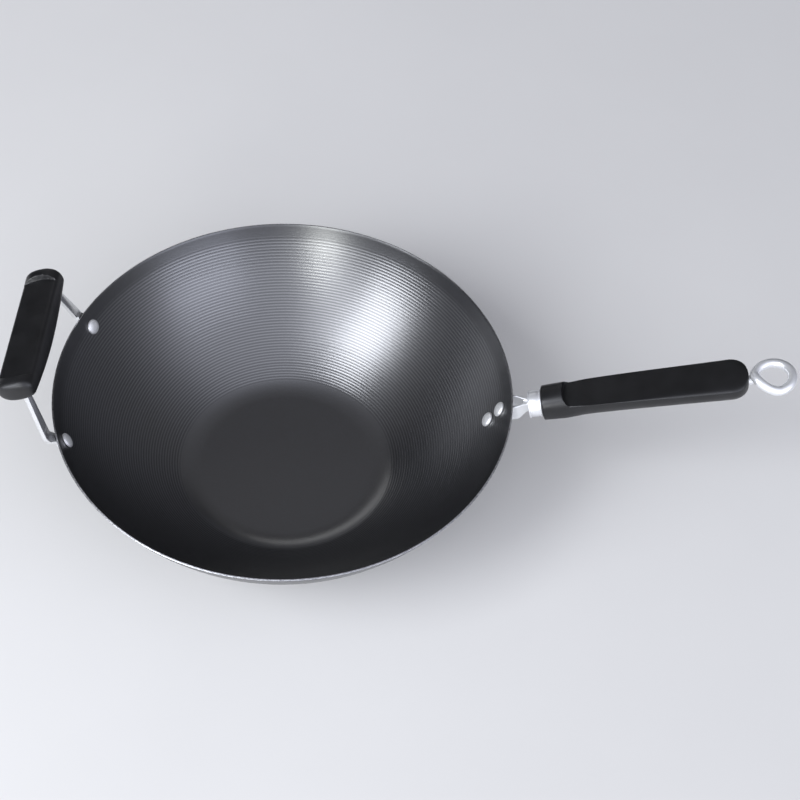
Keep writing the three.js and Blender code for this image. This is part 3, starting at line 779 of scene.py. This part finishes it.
def scoopCeiling(along, across):  # the scoop's floor, its front wall and the uncut collar
    corner, front = longGrip["corner"], longGrip["collarSide"]
    past = max(corner - (front - min(abs(across), front)), 0) / corner
    wall = gripStep + corner * (1 - math.sqrt(1 - past)) ** 2
    uncut = 2 * front
    return lerp(uncut, scoopFloor(along), ease(along, wall, wall + longGrip["stepRun"]))


def through(values, share):  # a parabola through three values
    first, middle, last = values
    bend = 2 * middle - (first + last) / 2
    share = max(share, 0)
    return (1 - share) ** 2 * first + 2 * share * (1 - share) * bend + share ** 2 * last


def gripSection(along):
    blendEnd = gripStep + longGrip["blend"]
    blend = ease(along, gripStep, blendEnd)
    collarShare = min((along - longGrip["start"]) / longGrip["collar"], 1)
    crown = lerp(longGrip["collarFront"], longGrip["collarRear"], collarShare)
    side = lerp(longGrip["collarFront"], longGrip["collarSide"], collarShare)
    share = (along - gripStep) / (gripEnd - gripStep)
    shoulder = longGrip["shoulder"] * ease(along, blendEnd, gripEnd - longGrip["endRound"])
    level = scoopFloor(along) * blend - shoulder
    halfWidth = lerp(side, through(longGrip["halfWidths"], share), blend)
    depth = lerp(longGrip["collarFront"], through(longGrip["depths"], share), blend) - shoulder
    return halfWidth, level, crown - level, depth


def gripRingAt(along, section):
    crease = lerp(*longGrip["creases"], ease(along, gripStep, gripEnd))
    return ovalRing(along, section, longGrip["squareness"], scoopCeiling, crease)


def roundRingAt(along, radius):
    return gripRingAt(along, (radius, 0, radius, radius))


def gripRings():  # spigot, collar, bar and rounded end
    start, edge, lead = longGrip["start"], longGrip["edge"], longGrip["stepLead"]
    spigot = longGrip["spigot"]
    rings = [roundRingAt(start - longGrip["spigotLength"], spigot), roundRingAt(start, spigot)]
    for angle in spaced(0, quarterTurn, longGrip["edgeSteps"]):
        inset = edge * (1 - math.sin(angle))
        rings.append(roundRingAt(start + edge * (1 - math.cos(angle)), longGrip["collarFront"] - inset))
    cornerEnd = gripStep + longGrip["corner"] + longGrip["cornerRun"]
    endStart = gripEnd - longGrip["endRound"]
    stations = spaced(start + edge, gripStep - 2 * lead, longGrip["collarSteps"])[1:]
    stations += spaced(gripStep - lead, cornerEnd, longGrip["cornerSteps"])
    stations += spaced(cornerEnd, endStart, longGrip["barSteps"])[1:]
    rings += [gripRingAt(along, gripSection(along)) for along in stations]
    for share in spaced(0, longGrip["endShare"], longGrip["endSteps"])[1:]:
        along = gripEnd - longGrip["endRound"] * (1 - math.sin(share * quarterTurn))
        section = roundedOff(gripSection(along), share, longGrip["squareness"], longGrip["tuck"])
        rings.append(gripRingAt(along, section))
    return rings


def makeLongGrip():
    piece = loft("handleGrip", gripRings())
    tidyMesh(piece)
    radius = longGrip["recess"]
    floor, over = gripEnd - longGrip["recessDepth"], gripEnd + longGrip["recessOver"]
    outline = [(0, floor), (radius, floor), (radius, over), (0, over)]
    cutter = turned("recessCutter", outline, longGrip["recessSides"], softTouch)
    cutter.data.transform(Matrix.Rotation(quarterTurn, 4, "Y"))
    cut = piece.modifiers.new("recess", "BOOLEAN")
    cut.object = cutter
    cut.operation = "DIFFERENCE"
    bakeModifiers(piece)
    bpy.data.objects.remove(cutter)
    piece.data.transform(handleFrame)
    piece.data.materials.clear()
    piece.data.materials.append(softTouch)
    tidyMesh(piece)
    standIn(piece, "soft_black", "handle_grip")


makeLongGrip()

eye = {
    "rod": 0.0026, "rodStart": 0.0063, "bar": 0.0037, "chamfer": 0.0004, "chamferRun": 0.0003,
    "loop": 0.0141, "bend": 0.0044, "neck": 0.0003, "lap": 0.0004, "lapStart": 0.7, "lapEnd": 0.97,
    "tip": 0.0036, "tipLeast": 0.03, "sides": 32, "sharpAngle": math.radians(50),
    "rodSteps": 4, "bendSteps": 8, "loopSteps": 72, "tipSteps": 8,
}
washer = {
    "radius": 0.006, "thickness": 0.0016, "hole": 0.0029, "round": 0.0003,
    "sides": 48, "sharpAngle": math.radians(30),
}
washerFace = gripEnd - longGrip["recessDepth"] + gap + washer["thickness"]


def barTree():
    tree, given, result = shapeTree(
        "bentBar", ("Sides", "NodeSocketInt"), ("Finish", "NodeSocketMaterial"),
    )
    line = out(place(tree, "GeometryNodeMeshToCurve", given["Geometry"]))
    section = out(place(tree, "GeometryNodeCurvePrimitiveCircle", given["Sides"], 1.0))
    bar = out(place(
        tree, "GeometryNodeCurveToMesh", line, section, attribute(tree, "thick", "FLOAT"), True,
    ))
    whole = out(place(tree, "GeometryNodeRealizeInstances", bar))
    finished = place(tree, "GeometryNodeSetMaterial", whole, None, given["Finish"])
    tree.links.new(out(finished), result["Geometry"])
    return tree


def eyeLine():  # points of the rod and its eye, each with its thickness
    rod, bar, bend, loop = eye["rod"], eye["bar"], eye["bend"], eye["loop"]
    shoulder, chamfer = washerFace + gap, eye["chamfer"]
    rodStations = spaced(eye["rodStart"], shoulder - chamfer, eye["rodSteps"])
    line = [(Vector((along, 0, 0)), rod) for along in rodStations]
    line.append((Vector((shoulder, 0, 0)), bar - chamfer))
    line.append((Vector((shoulder + eye["chamferRun"], 0, 0)), bar))
    bendStart = gripEnd + eye["neck"]
    reach = bend + loop
    lead = math.asin(bend / reach)
    middle = bendStart + reach * math.cos(lead)
    for angle in spaced(0, quarterTurn - lead, eye["bendSteps"])[:-1]:
        spot = Vector((bendStart + bend * math.sin(angle), bend * (1 - math.cos(angle)), 0))
        line.append((spot, bar))
    lapHeight = 2 * bar + eye["lap"]
    for share in spaced(0, 1, eye["loopSteps"]):
        angle = (math.pi - lead) * (1 - 2 * share)
        climb = lapHeight * ease(share, eye["lapStart"], eye["lapEnd"])
        line.append((Vector((middle + loop * math.cos(angle), loop * math.sin(angle), climb)), bar))
    onward = Vector((-math.sin(lead), math.cos(lead), 0))
    end = line[-1][0]
    for share in spaced(0, 1, eye["tipSteps"])[1:]:  # the bar's end is dressed to a blunt point
        thick = bar * math.sqrt(max(1 - share ** 2, eye["tipLeast"]))
        line.append((end + onward * eye["tip"] * share, thick))
    return line


def makeEye():
    line = eyeLine()
    piece = makeLine("hangingEye", [handleFrame @ spot for spot, thick in line])
    markPoints(piece, "thick", [thick for spot, thick in line])
    addTree(piece, barTree(), Sides=eye["sides"], Finish=satinChrome)
    bakeModifiers(piece)
    tidyMesh(piece, eye["sharpAngle"])
    standIn(piece, "chrome", "hanging_eye_rod")


makeEye()


def makeWasher():
    inner, outer, rounded = washer["hole"], washer["radius"], washer["round"]
    back = washerFace - washer["thickness"]
    outline = [
        (inner, back), (outer - rounded, back), (outer, back + rounded), (outer, washerFace - rounded),
        (outer - rounded, washerFace), (inner, washerFace), (inner, back),
    ]
    piece = turned("eyeWasher", outline, washer["sides"], chromePlate, washer["sharpAngle"])
    piece.data.transform(alongHandle)
    standIn(piece, "chrome", "eye_washer")


makeWasher()


# helper handle: a flat bail and the grip moulded round its bar

bail = {
    "tabHalf": 0.0065, "half": 0.0045, "barHalf": 0.0035, "tabReach": 0.0085, "tabTop": 0.0065,
    "tabEndAngle": math.radians(88), "tabEndSteps": 8, "standOff": 0.0058, "bendDrop": 0.0035,
    "barHalfLength": 0.05, "bend": 0.003, "corner": 0.009, "bendSteps": 10,
    "edge": 0.0008, "edgeShare": 0.9, "edgeSteps": 4, "sharpAngle": math.radians(35),
}
helper = {
    "standOff": 0.0122, "lift": 0.0423, "tilt": math.radians(19), "barInset": 0.0032, "barDrop": 0.0012,
    "halfLength": 0.06, "halfWidth": 0.01478, "rise": 0.00948, "endDepth": 0.0082, "midDepth": 0.017,
    "squareness": 2.6, "endRound": 0.0055, "tuck": 0.5, "endShare": 0.97, "floor": 0.0054,
    "scoopHalf": 0.052, "bow": 0.004, "wallRun": 0.0022, "crease": 0.002, "scoopMargin": 0.001,
    "endSteps": 18, "wallSteps": 24, "middleSteps": 30,
}
outAndDown = Vector((-math.cos(helper["tilt"]), 0, -math.sin(helper["tilt"])))
helperFrame = Matrix((
    (0, outAndDown.x, -math.sin(helper["tilt"]), -(handle["rimRadius"] + helper["standOff"])),
    (1, 0, 0, 0),
    (0, outAndDown.z, math.cos(helper["tilt"]), rimHeight + helper["lift"]),
    (0, 0, 0, 1),
))


def bailCorners(side):  # points of the path, each with the strip's facing, half width and rounding
    azimuth = helperAzimuth(side)
    seat, axis, up = rivetSeat(rivet["helperBelow"], azimuth)
    middle = seat + axis * (bowl["sheet"] + gap + bailThickness / 2)
    reach = handle["rimRadius"] + bail["standOff"]
    bend = Vector((reach * math.cos(azimuth), reach * math.sin(azimuth), rimHeight - bail["bendDrop"]))
    bar = helperFrame @ Vector((side * bail["barHalfLength"], -helper["barInset"], -helper["barDrop"]))
    corners = []
    for angle in spaced(bail["tabEndAngle"], 0, bail["tabEndSteps"]):  # rounded end of the tab
        drop = bail["tabReach"] / 2 * (1 + math.sin(angle))
        corners.append((middle - up * drop, axis, bail["tabHalf"] * math.cos(angle), 0))
    corners.append((middle, axis, bail["tabHalf"], 0))
    corners.append((middle + up * bail["tabTop"], axis, bail["half"], bail["bend"]))
    corners.append((bend, outAndDown, bail["half"], bail["bend"]))
    corners.append((bar, outAndDown, bail["barHalf"], bail["corner"]))
    return corners


def bailStations():
    corners = bailCorners(-1) + bailCorners(1)[::-1]
    stations = []
    for k, (point, face, half, rounding) in enumerate(corners):
        if rounding == 0:
            stations.append((point, face, half))
            continue
        before, after = corners[k - 1][0], corners[k + 1][0]
        first = point.lerp(before, rounding / (point - before).length)
        last = point.lerp(after, rounding / (point - after).length)
        for share in spaced(0, 1, bail["bendSteps"]):
            spot = first.lerp(point, share).lerp(point.lerp(last, share), share)
            stations.append((spot, face, half))
    return stations


def stripSection(half, thick, edge):  # a flat bar with rounded edges
    outline = []
    corners = ((1, 1, 0), (-1, 1, quarterTurn), (-1, -1, 2 * quarterTurn), (1, -1, 3 * quarterTurn))
    for acrossSign, upSign, first in corners:
        for angle in spaced(first, first + quarterTurn, bail["edgeSteps"]):
            across = acrossSign * (half - edge) + edge * math.cos(angle)
            outline.append((across, upSign * (thick - edge) + edge * math.sin(angle)))
    return outline


def makeBail():
    stations = bailStations()
    rings = []
    for k, (point, face, half) in enumerate(stations):
        before = stations[max(k - 1, 0)][0]
        after = stations[min(k + 1, len(stations) - 1)][0]
        along = (after - before).normalized()
        wide = face.cross(along).normalized()
        normal = along.cross(wide)
        edge = min(bail["edge"], half * bail["edgeShare"])
        outline = stripSection(half, bailThickness / 2, edge)
        rings.append([point + wide * across + normal * up for across, up in outline])
    piece = loft("helperBail", rings)
    tidyMesh(piece, bail["sharpAngle"])
    piece.data.materials.append(chromePlate)
    standIn(piece, "chrome", "helper_bail")


makeBail()


def helperCeiling(along, across):  # the scoop's floor and its two bowed end walls
    half, bow = helper["halfWidth"], helper["bow"]
    share = min(max((across + half) / (2 * half), 0), 1)
    wall = helper["scoopHalf"] - bow + 4 * bow * share * (1 - share)
    uncut = 2 * helper["rise"]
    return lerp(helper["floor"], uncut, ease(abs(along), wall - helper["wallRun"], wall))


def helperSection(along):  # deepest under the middle of the grip
    depth = lerp(helper["midDepth"], helper["endDepth"], (along / helper["halfLength"]) ** 2)
    return helper["halfWidth"], 0, helper["rise"], depth


def makeHelperGrip():
    squareness, crease = helper["squareness"], helper["crease"]
    straight = helper["halfLength"] - helper["endRound"]
    scoopEnd = helper["scoopHalf"] - helper["bow"] - helper["wallRun"] - helper["scoopMargin"]
    ends = []
    for share in spaced(0, helper["endShare"], helper["endSteps"])[1:]:
        along = helper["halfLength"] - helper["endRound"] * (1 - math.sin(share * quarterTurn))
        ends.append((along, roundedOff(helperSection(along), share, squareness, helper["tuck"])))
    bars = spaced(-straight, -scoopEnd, helper["wallSteps"])
    bars += spaced(-scoopEnd, scoopEnd, helper["middleSteps"])[1:-1]
    bars += spaced(scoopEnd, straight, helper["wallSteps"])
    stations = [(-along, oval) for along, oval in reversed(ends)]
    stations += [(along, helperSection(along)) for along in bars]
    stations += ends
    rings = [ovalRing(along, oval, squareness, helperCeiling, crease) for along, oval in stations]
    piece = loft("helperGrip", rings)
    piece.data.transform(helperFrame)
    tidyMesh(piece)
    piece.data.materials.append(softTouch)
    standIn(piece, "soft_black", "helper_grip")


makeHelperGrip()

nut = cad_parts["tie_rod_nut"]  # sealed in the grip, so its solid stays
nut.data.materials.clear()
nut.data.materials.append(zincPlate)


# studio

studio = {
    "floorSize": 8.0, "floorDrop": 0.0002, "floorColour": (0.66, 0.65, 0.625, 1), "floorRoughness": 0.8,
    "mottleScale": 3.0, "mottleLight": 1.03, "lampPower": 4,
    "skyFront": (0.31, -0.852, 0.423),  # the brightest direction
    "sky": (
        (0.25, (0.02, 0.02, 0.021, 1)), (0.4, (0.2, 0.2, 0.215, 1)), (0.55, (0.23, 0.235, 0.255, 1)),
        (0.7, (0.37, 0.38, 0.43, 1)), (0.775, (0.6, 0.62, 0.71, 1)), (0.86, (1.13, 1.165, 1.34, 1)),
        (0.97, (1.22, 1.26, 1.44, 1)),
    ),
}
# each soft box: azimuth and elevation from the wok in degrees, distance, size, brightness, colour
softBoxes = {
    "leftWindow": (-143, 34, 2.2, (0.9, 1.85), 6.8, (0.9, 0.93, 1.0)),
    "leftCurtain": (-113, 33, 2.3, (0.75, 2.0), 1.4, (0.9, 0.93, 1.0)),
    "rightWindow": (-44, 14, 2.4, (1.6, 1.5), 1.2, (0.8, 0.84, 1.0)),
    "warmWindow": (-104, 11, 2.5, (0.55, 0.9), 7.0, (0.97, 1.0, 0.98)),
    "rearWindow": (110, 28, 2.3, (1.4, 0.4), 0.9, (0.97, 0.98, 1.0)),
}


def floorMaterial():
    material, tree, sockets, coordinates = newMaterial(
        "paleFloor", Specular_IOR_Level=0.2, Roughness=studio["floorRoughness"],
    )
    colour = studio["floorColour"]
    paler = tuple(value * studio["mottleLight"] for value in colour[:3]) + (1,)
    smudgedColour(
        tree, sockets, coordinates,
        {"dark": colour, "light": paler, "tintScale": studio["mottleScale"]},
    )
    return material


def makeFloor():
    half, drop = studio["floorSize"] / 2, -studio["floorDrop"]
    corners = [(-half, -half, drop), (half, -half, drop), (half, half, drop), (-half, half, drop)]
    floor = makeObject("paleFloor", corners, [(0, 1, 2, 3)])
    floor.data.materials.append(floorMaterial())


def makeWorld():
    world = bpy.data.worlds.new("studioWorld")
    world.use_nodes = True
    tree = world.node_tree
    direction = place(tree, "ShaderNodeTexCoord").outputs["Generated"]
    facing = place(tree, "ShaderNodeVectorMath", direction, studio["skyFront"], operation="DOT_PRODUCT")
    share = calc(tree, "MULTIPLY_ADD", facing.outputs["Value"], 0.5, 0.5)
    ramp = place(tree, "ShaderNodeValToRGB", share)
    stops = ramp.color_ramp.elements
    for _ in studio["sky"][2:]:
        stops.new(0.5)
    for stop, (height, colour) in zip(stops, studio["sky"]):
        stop.position = height
        stop.color = colour
    tree.links.new(ramp.outputs["Color"], tree.nodes["Background"].inputs["Color"])
    scene.world = world


def softBox(name, azimuth, elevation, distance, size, brightness, colour):
    lamp = bpy.data.lights.new(name, "AREA")
    lamp.shape = "RECTANGLE"
    lamp.size, lamp.size_y = size
    lamp.energy = brightness * studio["lampPower"] * size[0] * size[1]
    lamp.color = colour
    flat = distance * math.cos(math.radians(elevation))
    spot = Vector((0, 0, rimHeight + distance * math.sin(math.radians(elevation))))
    spot += flat * Vector((math.cos(math.radians(azimuth)), math.sin(math.radians(azimuth)), 0))
    holder = bpy.data.objects.new(name, lamp)
    holder.location = spot
    holder.rotation_euler = (Vector((0, 0, rimHeight)) - spot).to_track_quat("-Z", "Y").to_euler()
    scene.collection.objects.link(holder)


camera = {
    "lens": 63.27, "sensor": 36, "clipStart": 0.01,
    "distance": 1.095, "elevation": math.radians(50.64), "azimuth": math.radians(5.45),
    "yaw": math.radians(-4.66), "pitch": math.radians(-0.72), "roll": math.radians(0.76),
}


def makeCamera():
    flat, rise = math.cos(camera["elevation"]), math.sin(camera["elevation"])
    spot = Vector((0, -flat, rise)) * camera["distance"]
    forward = -spot.normalized()
    right = Vector((1, 0, 0))
    up = right.cross(forward)
    aim = Matrix.Rotation(camera["yaw"], 3, up) @ Matrix.Rotation(camera["pitch"], 3, right)
    forward, right, up = aim @ forward, aim @ right, aim @ up
    tip = Matrix.Rotation(camera["roll"], 3, forward)
    right, up = tip @ right, tip @ up
    pose = Matrix((right, up, -forward)).transposed().to_4x4()
    pose.translation = spot
    lens = bpy.data.cameras.new("photoCamera")
    lens.lens = camera["lens"]
    lens.sensor_width = camera["sensor"]
    lens.clip_start = camera["clipStart"]
    holder = bpy.data.objects.new("photoCamera", lens)
    turn = Matrix.Rotation(camera["azimuth"], 4, "Z")
    holder.matrix_world = Matrix.Translation((0, 0, rimHeight)) @ turn @ pose
    scene.collection.objects.link(holder)
    scene.camera = holder


makeFloor()
makeWorld()
for name, settings in softBoxes.items():
    softBox(name, *settings)
makeCamera()
scene.view_settings.view_transform = "Standard"
print("studio made")
